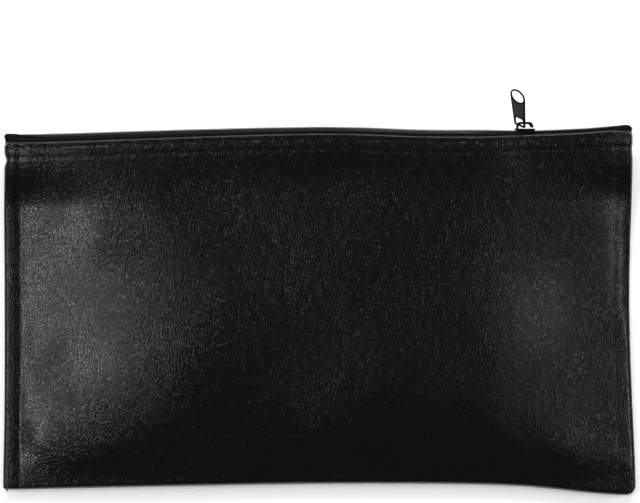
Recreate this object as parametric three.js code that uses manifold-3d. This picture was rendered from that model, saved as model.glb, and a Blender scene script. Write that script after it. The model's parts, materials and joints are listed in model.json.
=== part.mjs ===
// Flat zip bag for cash and bank deposits: two vinyl panels, a nylon coil zipper and its slider.
// Millimetres. X runs along the zipper, Y from the bottom fold to the mouth, Z up.
// The bag lies on its back panel, whose flat middle rests on z = 0.
import * as THREE from "three";
import Module from "manifold-3d";
import { mergeVertices } from "three/addons/utils/BufferGeometryUtils.js";

// ---- Bag body
const HALF_WIDTH = 138.6; // nominal 279 mm (11 in) wide bag
const VINYL = 0.8; // sheet thickness
const FOLD_GAP = 6; // degrees of the bottom fold left out, where the two panels part
const SEAM_HALF = 1.7; // from the middle of the side seam to an outer sheet's centre
const CROWN = 14.5; // distance between the sheets' centres in the middle of the bag
const FILL_RISE = 70; // the bag is at its full thickness this far above its bottom fold
const MOUTH_BLEND_FROM = 50; // below the lip, the sheets start to follow the mouth here,
const MOUTH_BLEND_TO = 10; // and follow it wholly here
const TURN_R = 0.5; // centre-line radius where a sheet is turned in
const ALLOWANCE = 6; // width of the turned-in side seam allowance
const SEAM_LINE = 1.6; // from a side edge in to the thread of its seam
const HEM = 7.4; // depth of the turned-in hem at the mouth

// ---- Zipper (number 3 coil)
const ZIP_Z = 8.6; // height of the chain's middle
const TAPE = 0.5; // tape thickness
const TAPE_START = 0.7; // tape edge, measured from the tooth tips
const TAPE_END = 12; // the other edge of the tape
const TAPE_BEND_AT = 2.6; // where the tape turns down towards the panel
const TAPE_BEND_R = 0.8;
const EXPOSED = 4.9; // tooth tips to the vinyl edge, along the tape
const COIL_WIDTH = 2;
const COIL_HEIGHT = 1;
const COIL_WALL = 0.25; // the coil is one sleeve of the helix's outer size
const COIL_SLIT = [0.85, 1.25]; // the sleeve is open along its underside between these
const COIL_THREAD = 0.25;
const CORD = 0.35; // the coil's filler cord
const CORD_AT = COIL_WIDTH / 2 + 0.05; // cord and coil thread, measured from the tooth tips
const LAYER_GAP = 0.1;
const CLOSED_HALF_GAP = 0.15; // closed chain, tooth tips to the middle
const MOUTH_HALF_GAP = 2.5; // open mouth, tooth tips to the middle
const MOUTH_OPENS_BY = -98; // the mouth is open from here to the slider
const OPENING_LENGTH = 10; // the rows part over about this length behind the slider
const CHAIN_END = 131;
const CHAIN_RISE = TAPE / 2 + LAYER_GAP + COIL_HEIGHT; // tape centre to the coil's outer face
const STACK_RISE = CHAIN_RISE + LAYER_GAP / 2 + COIL_THREAD; // tape centre to the top of the thread
const LIP_OUTSET = TAPE / 2 + LAYER_GAP + VINYL / 2 + 2 * TURN_R; // tape centre to outer sheet
const SEAM_THREAD = 0.35;
const STITCH_BELOW_LIP = 2;
const TAIL_DEPTH = 9; // a folded tape tail reaches this far down into the bag

// ---- Slider and pull
const SLIDER_X = 90.9;
const CHAIN_PARTS_AT = SLIDER_X - 1.2; // behind the slider's post
const SLIDER_LENGTH = 9;
const SLIDER_HALF_WIDTH = 3;
const PLATE = 0.65;
const CHANNEL = 2.15; // clear height between the two plates
const FLANGE_LENGTH = 5.6; // the plates' side flanges, which keep the rows together
const FLANGE_HEIGHT = 1.3;
const FLANGE_WIDTH = 0.4;
const BRIDGE_WIDTH = 1.15;
const PULL_LENGTH = 21;
const PULL_THICKNESS = 0.9;
const PULL_TIP_WIDTH = 7.9;
const PULL_ROOT_WIDTH = 5.9;
const PULL_HOLE_R = 3.2;
const PULL_SLOT_WIDTH = 4.1; // the opening that the bridge passes through
const PULL_SLOT_END = 4.2;
const PULL_AT = new THREE.Vector3(-2.1, 3.3, -1.0); // its cross-bar, in the slider's frame
const PULL_LONG = new THREE.Vector3(-0.095, 0.727, 0.68); // from the cross-bar to the tip
const PULL_ACROSS = new THREE.Vector3(0.775, -0.397, 0.49);

// Stations along the zipper: close together where the mouth closes and at the corners.
const STATIONS = [
  -CHAIN_END, -122, -106, -84, -56, -28, 0, 26, 48, 64, 76, 83, 86.5, 88.2, CHAIN_PARTS_AT, 97, 106, 118,
  CHAIN_END,
];
const END_STATIONS = [134, 136.5, HALF_WIDTH - TURN_R];

const lerp = THREE.MathUtils.lerp;
const smoothstep = THREE.MathUtils.smoothstep;
const radians = THREE.MathUtils.degToRad;

// A smooth curve y(x) through a few points.
const CURVE_SAMPLES = 200;
function curveThrough(points) {
  const spline = new THREE.CatmullRomCurve3(
    points.map(([x, y]) => new THREE.Vector3(x, y, 0)), false, "centripetal");
  const samples = spline.getPoints(CURVE_SAMPLES);
  return (x) => {
    const next = samples.findIndex((sample) => sample.x >= x);
    if (next <= 0) return next === 0 ? samples[0].y : samples.at(-1).y;
    const [a, b] = [samples[next - 1], samples[next]];
    return lerp(a.y, b.y, (x - a.x) / (b.x - a.x));
  };
}

// ---- Outline of the bag
const chainTopY = curveThrough([
  [-140, 78.2], [-108, 78.8], [-66, 80.1], [14, 81.5], [71, 80.6], [86, 79.9], [96, 79.8], [124, 81.1],
  [131, 81.9], [136, 82.3], [140, 82.2],
]);
const bottomY = curveThrough([[-140, -78.3], [-60, -76.6], [14, -75.5], [90, -76.6], [125, -80.2], [140, -80.8]]);
const leftEdge = curveThrough([[-82, -140], [-60, -138.8], [85, -138.6]]);
const rightEdge = curveThrough([[-82, 140.6], [-60, 139.6], [0, 137.2], [60, 138.4], [85, 138.8]]);
const edgeX = (side, y) => (side < 0 ? leftEdge(y) : rightEdge(y));

// Half the open gap between the two rows of teeth.
function halfGap(x) {
  const fromSlider = 1 - Math.exp(Math.min(x - CHAIN_PARTS_AT, 0) / OPENING_LENGTH);
  const fromEnd = smoothstep(x, -CHAIN_END, MOUTH_OPENS_BY);
  return lerp(CLOSED_HALF_GAP, MOUTH_HALF_GAP, fromSlider * fromEnd);
}

// Angle at which a tape stands: 90 degrees is chain flat across the mouth. It leans at the left end.
const LEFT_HEADING = 75;
const tapeHeading = (x) => radians(lerp(LEFT_HEADING, 90, smoothstep(x, -110, 10)));

// Lips come together over the last millimetres at each corner of the mouth.
const CORNER_PINCH = 3;
const cornerPinch = (x) => CORNER_PINCH * smoothstep(Math.abs(x), CHAIN_END, HALF_WIDTH - 1);

// A point of a tape's centre line, s from the tooth tips, moved out by "outset".
// Returns y and w, the distance from the middle of the chain.
function tapePoint(x, s, outset = 0) {
  const start = tapeHeading(x);
  const arc = TAPE_BEND_R * start;
  const flat = Math.min(s, TAPE_BEND_AT);
  const bent = THREE.MathUtils.clamp(s - TAPE_BEND_AT, 0, arc);
  const down = Math.max(s - TAPE_BEND_AT - arc, 0);
  const heading = start - bent / TAPE_BEND_R;
  const tipY = chainTopY(x) - CHAIN_RISE * Math.sin(start);
  const y = tipY - flat * Math.cos(start) - TAPE_BEND_R * (Math.sin(start) - Math.sin(heading)) - down;
  const w = halfGap(x) + flat * Math.sin(start) + TAPE_BEND_R * (Math.cos(heading) - Math.cos(start));
  return { y: y + outset * Math.sin(heading), w: w - cornerPinch(x) + outset * Math.cos(heading) };
}

const lipY = (x) => tapePoint(x, EXPOSED).y;
const lipW = (x) => tapePoint(x, EXPOSED, LIP_OUTSET).w;

// ---- Closed meshes from rings of points
// Each ring lists one face of a strip and then the other face back again.
function loft(rings) {
  const count = rings[0].length;
  const positions = rings.flat().flatMap((p) => [p.x, p.y, p.z]);
  const index = [];
  const quad = (a, b, c, d) => index.push(a, b, c, a, c, d);
  for (let r = 0; r < rings.length - 1; r++) {
    for (let i = 0; i < count; i++) {
      const j = (i + 1) % count;
      quad(r * count + i, r * count + j, (r + 1) * count + j, (r + 1) * count + i);
    }
  }
  const last = (rings.length - 1) * count;
  for (let i = 0; i < count / 2 - 1; i++) {
    const j = count - 1 - i;
    quad(i, j, j - 1, i + 1);
    quad(last + i, last + i + 1, last + j - 1, last + j);
  }
  return facingOut(positions, index);
}

// Turns the triangles round when the enclosed volume comes out negative.
function facingOut(positions, index) {
  const at = (i) => new THREE.Vector3().fromArray(positions, 3 * i);
  let volume = 0;
  for (let i = 0; i < index.length; i += 3) {
    volume += at(index[i]).dot(at(index[i + 1]).cross(at(index[i + 2])));
  }
  const geometry = new THREE.BufferGeometry();
  geometry.setAttribute("position", new THREE.Float32BufferAttribute(positions, 3));
  geometry.setIndex(volume < 0 ? index.reverse() : index);
  return geometry;
}

// A strip of even thickness about rows of centre points.
function sheet(rows, thickness) {
  const normalAt = (r, i) => {
    const across = new THREE.Vector3().subVectors(
      rows[r][Math.min(i + 1, rows[r].length - 1)], rows[r][Math.max(i - 1, 0)]);
    const along = new THREE.Vector3().subVectors(
      rows[Math.min(r + 1, rows.length - 1)][i], rows[Math.max(r - 1, 0)][i]);
    return across.cross(along).normalize();
  };
  return loft(rows.map((row, r) => {
    const faces = [1, -1].map((side) =>
      row.map((p, i) => p.clone().addScaledVector(normalAt(r, i), (side * thickness) / 2)));
    return [...faces[0], ...faces[1].reverse()];
  }));
}

const front = (y, w, x) => new THREE.Vector3(x, y, ZIP_Z + w);
const back = (y, w, x) => new THREE.Vector3(x, y, ZIP_Z - w);
const SIDES = { front, back };

// ---- Panels
// Middle height and half thickness of the bag at a place on its outline.
function bagSection(x, y) {
  const edge = Math.abs(edgeX(Math.sign(x) || 1, y)) - TURN_R;
  const across = 1 - Math.pow(Math.min(Math.abs(x) / edge, 1), 4);
  const up = 1 - Math.pow(1 - THREE.MathUtils.clamp((y - bottomY(x)) / FILL_RISE, 0, 1), 3);
  const body = SEAM_HALF + (CROWN / 2 - SEAM_HALF) * across * up;
  const toMouth = smoothstep(y, lipY(x) - MOUTH_BLEND_FROM, lipY(x) - MOUTH_BLEND_TO);
  return {
    middle: lerp(body + VINYL / 2, ZIP_Z, toMouth),
    half: lerp(body, lipW(x), toMouth),
  };
}

// Shares of the way from the fold to the mouth. The side allowances turn in between the second
// and the last but one, and have their full width between ALLOWANCE_FROM and ALLOWANCE_TO.
const BODY_ROWS = [0, 0.03, 0.08, 0.18, 0.3, 0.44, 0.58, 0.7, 0.8, 0.87, 0.93, 1];
const TURNED_FROM = 0.02;
const TURNED_TO = 0.9;
const ALLOWANCE_FROM = 0.08;
const ALLOWANCE_TO = 0.8;
const hasFullAllowance = (t) => t >= ALLOWANCE_FROM && t <= ALLOWANCE_TO;

// Angles round the bottom fold and round the lip's turn, in degrees.
const FOLD_ANGLES = [FOLD_GAP, 35, 65];
const LIP_ANGLES = [45, 90, 135, 180];

// A row with no side allowance keeps a stub of one, so that all rows have the same points.
const NO_ALLOWANCE = { turn: 4, flange: 0.05 };

// Rows of a panel from the bottom fold to the inner edge of the hem. Each row places a point
// for a given x and says how far its side allowances turn in.
function panelRows() {
  const rows = [];
  for (const angle of FOLD_ANGLES) {
    rows.push({
      ...NO_ALLOWANCE, inset: 0,
      place: (x) => {
        const foldY = bottomY(x);
        return {
          y: foldY + SEAM_HALF * (1 - Math.cos(radians(angle))),
          middle: SEAM_HALF + VINYL / 2,
          half: SEAM_HALF * Math.sin(radians(angle)),
        };
      },
    });
  }
  for (const t of BODY_ROWS) {
    const turned = t > TURNED_FROM && t < TURNED_TO;
    rows.push({
      turn: turned ? 180 : NO_ALLOWANCE.turn,
      flange: hasFullAllowance(t) ? ALLOWANCE : NO_ALLOWANCE.flange,
      inset: 0,
      place: (x) => {
        const y = lerp(bottomY(x) + SEAM_HALF, lipY(x) - TURN_R, t);
        return { y, ...bagSection(x, y) };
      },
    });
  }
  for (const angle of LIP_ANGLES) {
    rows.push({
      ...NO_ALLOWANCE, inset: angle / 180,
      place: (x) => ({
        y: lipY(x) - TURN_R + TURN_R * Math.sin(radians(angle)),
        middle: ZIP_Z,
        half: lipW(x) - TURN_R + TURN_R * Math.cos(radians(angle)),
      }),
    });
  }
  for (const depth of [HEM / 2, HEM]) {
    rows.push({
      ...NO_ALLOWANCE, inset: 1,
      place: (x) => ({ y: lipY(x) - depth, middle: ZIP_Z, half: lipW(x) - 2 * TURN_R }),
    });
  }
  return rows;
}

function panel(sign) {
  const stations = [...END_STATIONS.map((x) => -x).reverse(), ...STATIONS, ...END_STATIONS];
  const toPoint = (x, { y, middle, half }, inward = 0) =>
    new THREE.Vector3(x, y, middle + sign * (half - inward));
  // The turned-in allowance beside one edge, from the sheet inwards.
  const allowance = (side, row) => {
    const placed = row.place(side * (HALF_WIDTH - TURN_R));
    const root = edgeX(side, placed.y) - side * (TURN_R + row.inset);
    const bend = [0, 1 / 3, 2 / 3, 1].map((part) => {
      const angle = radians(row.turn * part);
      return toPoint(root + side * TURN_R * Math.sin(angle), placed, TURN_R * (1 - Math.cos(angle)));
    });
    const heading = radians(row.turn);
    const end = bend.at(-1).clone();
    end.x += side * row.flange * Math.cos(heading);
    end.z -= sign * row.flange * Math.sin(heading);
    return [...bend, end];
  };
  const rows = panelRows().map((row) => {
    const main = stations.slice(1, -1).map((station) => {
      const placed = row.place(station);
      const side = Math.sign(station) || 1;
      const beyond = Math.max(Math.abs(station) - CHAIN_END, 0) / (HALF_WIDTH - TURN_R - CHAIN_END);
      const shift = Math.abs(edgeX(side, placed.y)) - HALF_WIDTH - row.inset;
      return toPoint(station + side * shift * beyond, placed);
    });
    return [...allowance(-1, row).reverse(), ...main, ...allowance(1, row)];
  });
  return sheet(rows, VINYL);
}

// ---- Zipper halves
function tape(side) {
  const aroundBend = [3, 3.4, 3.9];
  const steps = [TAPE_START, 1.6, TAPE_BEND_AT, ...aroundBend, 8, TAPE_END];
  const rows = STATIONS.map((x) => steps.map((s) => {
    const { y, w } = tapePoint(x, s);
    return SIDES[side](y, w, x);
  }));
  return sheet(rows, TAPE);
}

// The coil's sleeve in section, round from one side of the slit to the other.
function coil(side) {
  const near = TAPE / 2 + LAYER_GAP + COIL_WALL / 2;
  const far = CHAIN_RISE - COIL_WALL / 2;
  const inner = COIL_WALL / 2 + 0.05;
  const outer = COIL_WIDTH - COIL_WALL / 2;
  const chamfer = 0.25;
  const section = [
    [COIL_SLIT[0], near], [inner, near], [inner, far - chamfer], [inner + chamfer, far],
    [outer - chamfer, far], [outer, far - chamfer], [outer, near], [COIL_SLIT[1], near],
  ];
  const rows = STATIONS.map((x) => section.map(([s, outset]) => {
    const { y, w } = tapePoint(x, s, outset);
    return SIDES[side](y, w, x);
  }));
  return sheet(rows, COIL_WALL);
}

const SQUARE = [[-1, -1], [1, -1], [1, 1], [-1, 1]];

// A square thread or cord along the whole zipper, centred on s and outset.
function runAlong(side, s, outset, size) {
  return loft(STATIONS.map((x) => SQUARE.map(([a, b]) => {
    const { y, w } = tapePoint(x, s + (a * size) / 2, outset + (b * size) / 2);
    return SIDES[side](y, w, x);
  })));
}

const cord = (side) => runAlong(side, CORD_AT, TAPE / 2 + LAYER_GAP + COIL_HEIGHT / 2, CORD);
const coilThread = (side) => runAlong(side, CORD_AT, STACK_RISE - COIL_THREAD / 2, COIL_THREAD);
const topStitch = (side) => {
  const outset = LIP_OUTSET + (VINYL + LAYER_GAP + SEAM_THREAD) / 2;
  return runAlong(side, EXPOSED + STITCH_BELOW_LIP, outset, SEAM_THREAD);
};

// The folded tape tails that close the chain at one corner and stop the slider. They taper from
// the chain to the corner: each section has its distance from the middle of the bag, its half
// thickness, and how far its top lies below the chain's.
const TAIL_SECTIONS = [[131.4, 2.2, 0.1], [134, 1.2, 0.1], [137.2, 0.3, 0.5], [138.6, 0.2, 1.6]];

function tapeTail(side) {
  const rings = TAIL_SECTIONS.map(([reach, half, drop]) => {
    const x = side * reach;
    const top = chainTopY(x) - drop;
    const foot = chainTopY(x) - TAIL_DEPTH;
    return [[foot, -half], [top - half / 2, -half], [top, -half / 2], [top, half / 2],
      [top - half / 2, half], [foot, half]].map(([y, w]) => front(y, w, x));
  });
  return loft(rings);
}

// Thread of one side seam, between the two turned-in allowances.
function seamThread(side) {
  const along = side * (HALF_WIDTH - TURN_R);
  const rings = BODY_ROWS.filter(hasFullAllowance).map((t) => {
    const y = lerp(bottomY(along) + SEAM_HALF, lipY(along) - TURN_R, t);
    const x = edgeX(side, y) - side * SEAM_LINE;
    const { middle } = bagSection(along, y);
    return SQUARE.map(([a, b]) => new THREE.Vector3(
      x + (a * SEAM_THREAD) / 2, y, middle + (b * SEAM_THREAD) / 2));
  });
  return loft(rings);
}

// ---- Slider
const wasm = await Module();
wasm.setup();

const WELD = 1e-5; // points closer than this are one point

function solid(geometry) {
  const bare = geometry.clone();
  bare.deleteAttribute("normal");
  bare.deleteAttribute("uv");
  const merged = mergeVertices(bare, WELD);
  const corners = Array.from(merged.index.array);
  // A closed curve repeats its first point, which leaves triangles with no area.
  const triangles = corners.filter((_, i) => {
    const [a, b, c] = corners.slice(i - (i % 3), i - (i % 3) + 3);
    return a !== b && b !== c && c !== a;
  });
  return new wasm.Manifold(new wasm.Mesh({
    numProp: 3,
    vertProperties: new Float32Array(merged.attributes.position.array),
    triVerts: new Uint32Array(triangles),
  }));
}

function geometryOf(manifold) {
  const mesh = manifold.getMesh();
  const geometry = new THREE.BufferGeometry();
  geometry.setAttribute("position", new THREE.BufferAttribute(mesh.vertProperties, 3));
  geometry.setIndex(new THREE.BufferAttribute(mesh.triVerts, 1));
  return geometry;
}

// An outline in a flat plane, extruded evenly to both sides of it.
function slab(shape, thickness, curveSegments = 6) {
  const geometry = new THREE.ExtrudeGeometry(shape, { depth: thickness, bevelEnabled: false, curveSegments });
  geometry.translate(0, 0, -thickness / 2);
  return geometry;
}

// The plates' outline, X along the chain and the wide, diverging end at -X. Local Z is across.
function plateOutline() {
  const end = SLIDER_LENGTH / 2;
  const wide = SLIDER_HALF_WIDTH;
  const narrow = wide - 0.25;
  const corner = 0.8;
  const shoulder = 1.2;
  const notch = 0.9;
  const notchFrom = wide - 1.4;
  const shape = new THREE.Shape();
  shape.moveTo(-end + shoulder, -wide);
  shape.lineTo(end - corner, -narrow);
  shape.quadraticCurveTo(end, -narrow, end, -narrow + corner);
  shape.lineTo(end, narrow - corner);
  shape.quadraticCurveTo(end, narrow, end - corner, narrow);
  shape.lineTo(-end + shoulder, wide);
  shape.quadraticCurveTo(-end, wide, -end, notchFrom);
  shape.lineTo(-end + notch, 0);
  shape.lineTo(-end, -notchFrom);
  shape.quadraticCurveTo(-end, -wide, -end + shoulder, -wide);
  return shape;
}

// The bridge seen from the side: a hook rooted at -X, its free end bent down at +X.
function bridgeOutline() {
  const shape = new THREE.Shape();
  const top = 3.05;
  const under = 2; // clear height for the pull's cross-bar
  const freeEnd = 0.55;
  shape.moveTo(-3.9, -0.2);
  shape.lineTo(-3.7, 1.4);
  shape.quadraticCurveTo(-3.4, top, -1.9, top);
  shape.lineTo(2, top);
  shape.quadraticCurveTo(3.6, top, 3.9, freeEnd);
  shape.lineTo(2.4, freeEnd);
  shape.quadraticCurveTo(2.2, under, 1, under);
  shape.lineTo(-1.7, under);
  shape.quadraticCurveTo(-2.6, under, -2.7, 1.2);
  shape.lineTo(-2.8, -0.2);
  return shape;
}

// The post that parts the two rows of teeth: a wedge, thick at the diverging end.
function postOutline() {
  const [wideX, wideHalf] = [-3.4, 0.35];
  const [thinX, thinHalf] = [-1.2, 0.1];
  return new THREE.Shape([
    new THREE.Vector2(wideX, -wideHalf), new THREE.Vector2(thinX, -thinHalf),
    new THREE.Vector2(thinX, thinHalf), new THREE.Vector2(wideX, wideHalf),
  ]);
}

// Local frame of the slider: X along the chain, Y out of the bag, Z across, 0 at the chain's middle.
function sliderBody() {
  const upper = CHANNEL / 2;
  const bite = 0.2; // pieces of the casting reach this far into each other
  const plate = (y) => solid(slab(plateOutline(), PLATE).rotateX(Math.PI / 2).translate(0, y, 0));
  const flange = (side) => solid(new THREE.BoxGeometry(FLANGE_LENGTH, FLANGE_HEIGHT, FLANGE_WIDTH)
    .translate(1.4, upper - 0.6, side * (SLIDER_HALF_WIDTH - 0.48)));
  const post = solid(slab(postOutline(), CHANNEL + 2 * bite).rotateX(Math.PI / 2));
  const bridge = solid(slab(bridgeOutline(), BRIDGE_WIDTH).translate(0, upper + PLATE, 0));
  return geometryOf(plate(upper + PLATE / 2).add(plate(-upper - PLATE / 2)).add(post)
    .add(flange(1)).add(flange(-1)).add(bridge));
}

// The pull in its own plane: Y from the cross-bar to the tip, X across.
function pullTab() {
  const tipR = PULL_TIP_WIDTH / 2;
  const tipY = PULL_LENGTH - tipR - PULL_THICKNESS / 2;
  const root = PULL_ROOT_WIDTH / 2;
  const plateFrom = -0.2; // inside the cross-bar
  const outline = new THREE.Shape();
  outline.moveTo(-root, plateFrom);
  outline.absarc(0, tipY, tipR, Math.PI, 0, true);
  outline.lineTo(root, plateFrom);
  const slotHalf = PULL_SLOT_WIDTH / 2;
  const slotFrom = 0.2; // inside the cross-bar
  const arch = 1; // height of the slot's rounded end
  const slot = new THREE.Shape();
  slot.moveTo(-slotHalf, slotFrom);
  slot.lineTo(slotHalf, slotFrom);
  slot.lineTo(slotHalf, PULL_SLOT_END - arch);
  slot.quadraticCurveTo(slotHalf, PULL_SLOT_END, 0, PULL_SLOT_END);
  slot.quadraticCurveTo(-slotHalf, PULL_SLOT_END, -slotHalf, PULL_SLOT_END - arch);
  const eye = new THREE.CylinderGeometry(PULL_HOLE_R, PULL_HOLE_R, 2 * PULL_THICKNESS, 20)
    .rotateX(Math.PI / 2).translate(0, tipY, 0);
  const bar = new THREE.CylinderGeometry(PULL_THICKNESS / 2, PULL_THICKNESS / 2, PULL_ROOT_WIDTH, 10)
    .rotateZ(Math.PI / 2);
  return geometryOf(solid(slab(outline, PULL_THICKNESS, 14))
    .subtract(solid(eye)).subtract(solid(slab(slot, 2 * PULL_THICKNESS))).add(solid(bar)));
}

// ---- Assembly
const vinyl = new THREE.MeshStandardMaterial({ color: 0x0d0d0e, roughness: 0.42, metalness: 0 });
const tapeCloth = new THREE.MeshStandardMaterial({ color: 0x101011, roughness: 0.85, metalness: 0 });
const nylon = new THREE.MeshStandardMaterial({ color: 0x0b0b0c, roughness: 0.4, metalness: 0 });
const sewing = new THREE.MeshStandardMaterial({ color: 0x0e0e0f, roughness: 0.7, metalness: 0 });
const lacquer = new THREE.MeshStandardMaterial({ color: 0x1a1a1b, roughness: 0.35, metalness: 0.7 });

const bag = new THREE.Group();
bag.name = "zip_bag";

function addPart(name, geometry, material, parent = bag) {
  const mesh = new THREE.Mesh(geometry, material.clone());
  mesh.name = name;
  parent.add(mesh);
  return mesh;
}

addPart("front_panel", panel(1), vinyl);
addPart("back_panel", panel(-1), vinyl);
for (const side of ["front", "back"]) {
  addPart(`${side}_tape`, tape(side), tapeCloth);
  addPart(`${side}_coil`, coil(side), nylon);
  addPart(`${side}_coil_cord`, cord(side), sewing);
  addPart(`${side}_coil_thread`, coilThread(side), sewing);
  addPart(`${side}_mouth_stitch`, topStitch(side), sewing);
}
for (const [name, side] of [["left", -1], ["right", 1]]) {
  addPart(`${name}_tape_tail`, tapeTail(side), tapeCloth);
  addPart(`${name}_seam_thread`, seamThread(side), sewing);
}

// The slider rides on the chain; its channel is centred on coil and tape together.
const slider = new THREE.Group();
const chainMiddle = chainTopY(SLIDER_X) - CHAIN_RISE + (STACK_RISE - TAPE / 2) / 2;
slider.position.set(SLIDER_X, chainMiddle, ZIP_Z);
bag.add(slider);
addPart("slider_body", sliderBody(), lacquer, slider);

// The pull stands up from the bridge, leaning out over the mouth and twisted about its length.
const pullLong = PULL_LONG.clone().normalize();
const pullAcross = PULL_ACROSS.clone();
pullAcross.addScaledVector(pullLong, -pullAcross.dot(pullLong)).normalize();
const pullFace = new THREE.Vector3().crossVectors(pullAcross, pullLong);
const pull = new THREE.Group();
pull.position.copy(PULL_AT);
pull.quaternion.setFromRotationMatrix(new THREE.Matrix4().makeBasis(pullAcross, pullLong, pullFace));
slider.add(pull);
addPart("pull_tab", pullTab(), lacquer, pull);

export default bag;
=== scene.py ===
"""Looks for the flat zip bag. Lengths are millimetres until a mesh is made, then metres."""
import json
import math

import bmesh
import bpy
import numpy as np
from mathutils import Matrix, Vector
from mathutils.bvhtree import BVHTree
from mathutils.kdtree import KDTree


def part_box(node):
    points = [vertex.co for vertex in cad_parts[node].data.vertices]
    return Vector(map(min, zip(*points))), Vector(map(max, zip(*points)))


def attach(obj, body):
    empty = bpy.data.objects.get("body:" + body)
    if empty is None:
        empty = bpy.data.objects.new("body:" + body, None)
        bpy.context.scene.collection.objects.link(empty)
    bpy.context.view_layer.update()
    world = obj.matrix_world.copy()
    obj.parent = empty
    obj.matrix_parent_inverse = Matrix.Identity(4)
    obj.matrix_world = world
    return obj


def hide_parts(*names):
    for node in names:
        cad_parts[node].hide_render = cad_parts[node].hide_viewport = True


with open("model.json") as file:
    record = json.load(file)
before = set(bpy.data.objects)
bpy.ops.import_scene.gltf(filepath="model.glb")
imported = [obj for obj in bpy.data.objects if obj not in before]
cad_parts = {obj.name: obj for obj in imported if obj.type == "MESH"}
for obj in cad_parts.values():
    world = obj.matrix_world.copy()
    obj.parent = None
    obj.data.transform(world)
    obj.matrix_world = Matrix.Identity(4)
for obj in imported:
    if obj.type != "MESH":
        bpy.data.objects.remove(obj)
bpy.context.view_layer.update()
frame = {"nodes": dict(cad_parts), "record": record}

MM = 0.001
FRONT, BACK = 1, -1
SIDE_NAMES = {FRONT: "front", BACK: "back"}

# ---- Driving dimensions
# The vinyl sheet and the grid that it is drawn on.
VINYL = 0.8
CELL = 1.2  # spacing of the shell's grid away from its edges
FINE_ROWS = 10  # below the lip the grid is fine over this length
SMOOTHING = 20  # passes of smoothing over the faceted heights read from the CAD panels
LEAST_THICKNESS = 1.9  # the two faces of the bag come no nearer than about this
THICKNESS_BLEND = 0.8  # how gently they pass into that least thickness
LEAST_HEIGHT = 0.02  # the back face stays this much above the floor

# Reading the CAD panels with rays.
RAY_SPACING = 0.4  # between the heights at which rays look for the panels' edges
RAY_START = 0.3  # metres; far enough outside the bag to start a ray
FOLD_READ_TO = 134  # the bottom fold's line is read out to here on both sides
LINE_SMOOTHING = 60  # passes of smoothing over the fold's and the lip's line
EDGE_SMOOTHING = 120  # and over the side edges' lines
READ_INSIDE = 3.5  # heights are read this far inside the side edges,
READ_ABOVE_FOLD = 3.2  # this far above the fold
READ_BELOW_LIP = 1.3  # and this far below the lip

# Edges and corners of the bag.
EDGE_ROUND = 2.6  # the rounding of the bag's side edges reaches this far in
FOLD_ROUND = 1.5
LEFT_CORNER_R = 1.2
RIGHT_CORNER_R = 4.2
LIP_CORNER_R = 1.0
SEAM_RIDGE = 6.2  # width of the ridge over the side seam allowances
RIGHT_SEAM_SHARE = 0.3  # the right seam's ridge is this much of the left one's
# Side edge profile: how far in from the edge, and the share of the half thickness.
SIDE_PROFILE = [
    (0.9, 0), (0.35, 0.08), (0.05, 0.28), (0, 0.45),
    (0.18, 0.68), (0.65, 0.88), (1.4, 0.97), (EDGE_ROUND, 1),
]

# The mouth.
HEM = 7.4  # depth of the turned hem
HEM_RISE = 0.45  # the hem stands this much proud of the sheet below it
HEM_WELT = 0.12  # and the sheet stands up this much just below the hem's edge
HEM_ENDS_AT = 8.0  # below the lip, the side edges are drawn in most here,
LEFT_NOTCH = 0.9  # by this much at the left
RIGHT_NOTCH = 0.3  # and by this much at the right
FLAP_INSET = 2.2  # the turned hem stops this far inside the side edges,
FLAP_INSET_OVER = 3  # and is drawn in over this much of its depth
LIP_ROUND = 0.75  # radius of the lip's turn
LIP_TURNS = (25, 50, 70, 90, 110, 145, 180)  # degrees of that turn where a row of the grid lies
LIP_REACH = 0.8  # the turn stops at this share of the way to the bag's middle
FLAP_DEPTHS = (1.5, 4, HEM)  # rows of the turned-in flap
CLOSED_LIP_RISE = 1.1  # where the mouth is closed, the lip lies this much nearer the chain than in the CAD
CLOSED_FROM = (70, 94)  # the closed part begins over this stretch
CORNER_FROM = (124, 137)  # and half of the rise is lost again over this one
MOUTH_DIP = 1.1  # the open mouth sags this much below the CAD's line,
MOUTH_DIP_AT = 48.0  # most of all here,
MOUTH_DIP_REACH = 28.0  # and less over about this distance to both sides
STITCH_BELOW_LIP = 2.0
STITCH_PITCH = 3.2
STITCH_GAP = 0.35  # between the ends of two stitches
STITCH_SPAN = 134.5  # half the length of a row of stitches
STITCH_DEPTH = 0.2  # how deep the row of stitches is drawn in
LEFT_STITCH_DEPTH = 0.4  # and at the left end, where the hem is pulled hardest
LEFT_END = (-110, -70)  # the left end passes into the rest over this stretch
STITCH_END_DIP = 0.55  # each stitch dives this deep at its ends
STITCH_STANDS = 0.1  # and stands this much proud between them

# The front sheet leaves each side seam at an even slope and levels off over the contents,
# whose height falls away towards the bottom fold and towards the mouth.
SEAM_TOP = 4.3  # height of the front face over a side seam
MOUTH_LIFT = 4.5  # the seams rise towards the zipper
MOUTH_LIFT_FROM = 15.0
MOUTH_LIFT_TO = 75.0
FILL_HEIGHT = 10.9
FILL_HALF_LENGTH = 76.0
FILL_POWER = 2.6  # the higher, the flatter the filled part
LEFT_SLOPE = 0.175
LEFT_SLOPE_FROM = 6.5  # beside the seam's ridge
RIGHT_SLOPE = 0.13
LEVELLING = 3.5  # how gently the slopes pass into the level part

# Small shapes of the sheet: their heights and their lengths.
SEAM_RIDGE_HEIGHT = 0.3
SEAM_GROOVE_DEPTH = 0.25
PUCKER_HEIGHT = 0.12
PUCKER_LENGTH = 17.0
WAVE_HEIGHT = 0.3
WAVE_LENGTH = 70.0
CREASE_HEIGHT = 0.03
CREASE_LENGTH = 16.0
DETAIL_SHARE = {FRONT: 1.0, BACK: 0.35}  # the back lies flatter
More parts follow.
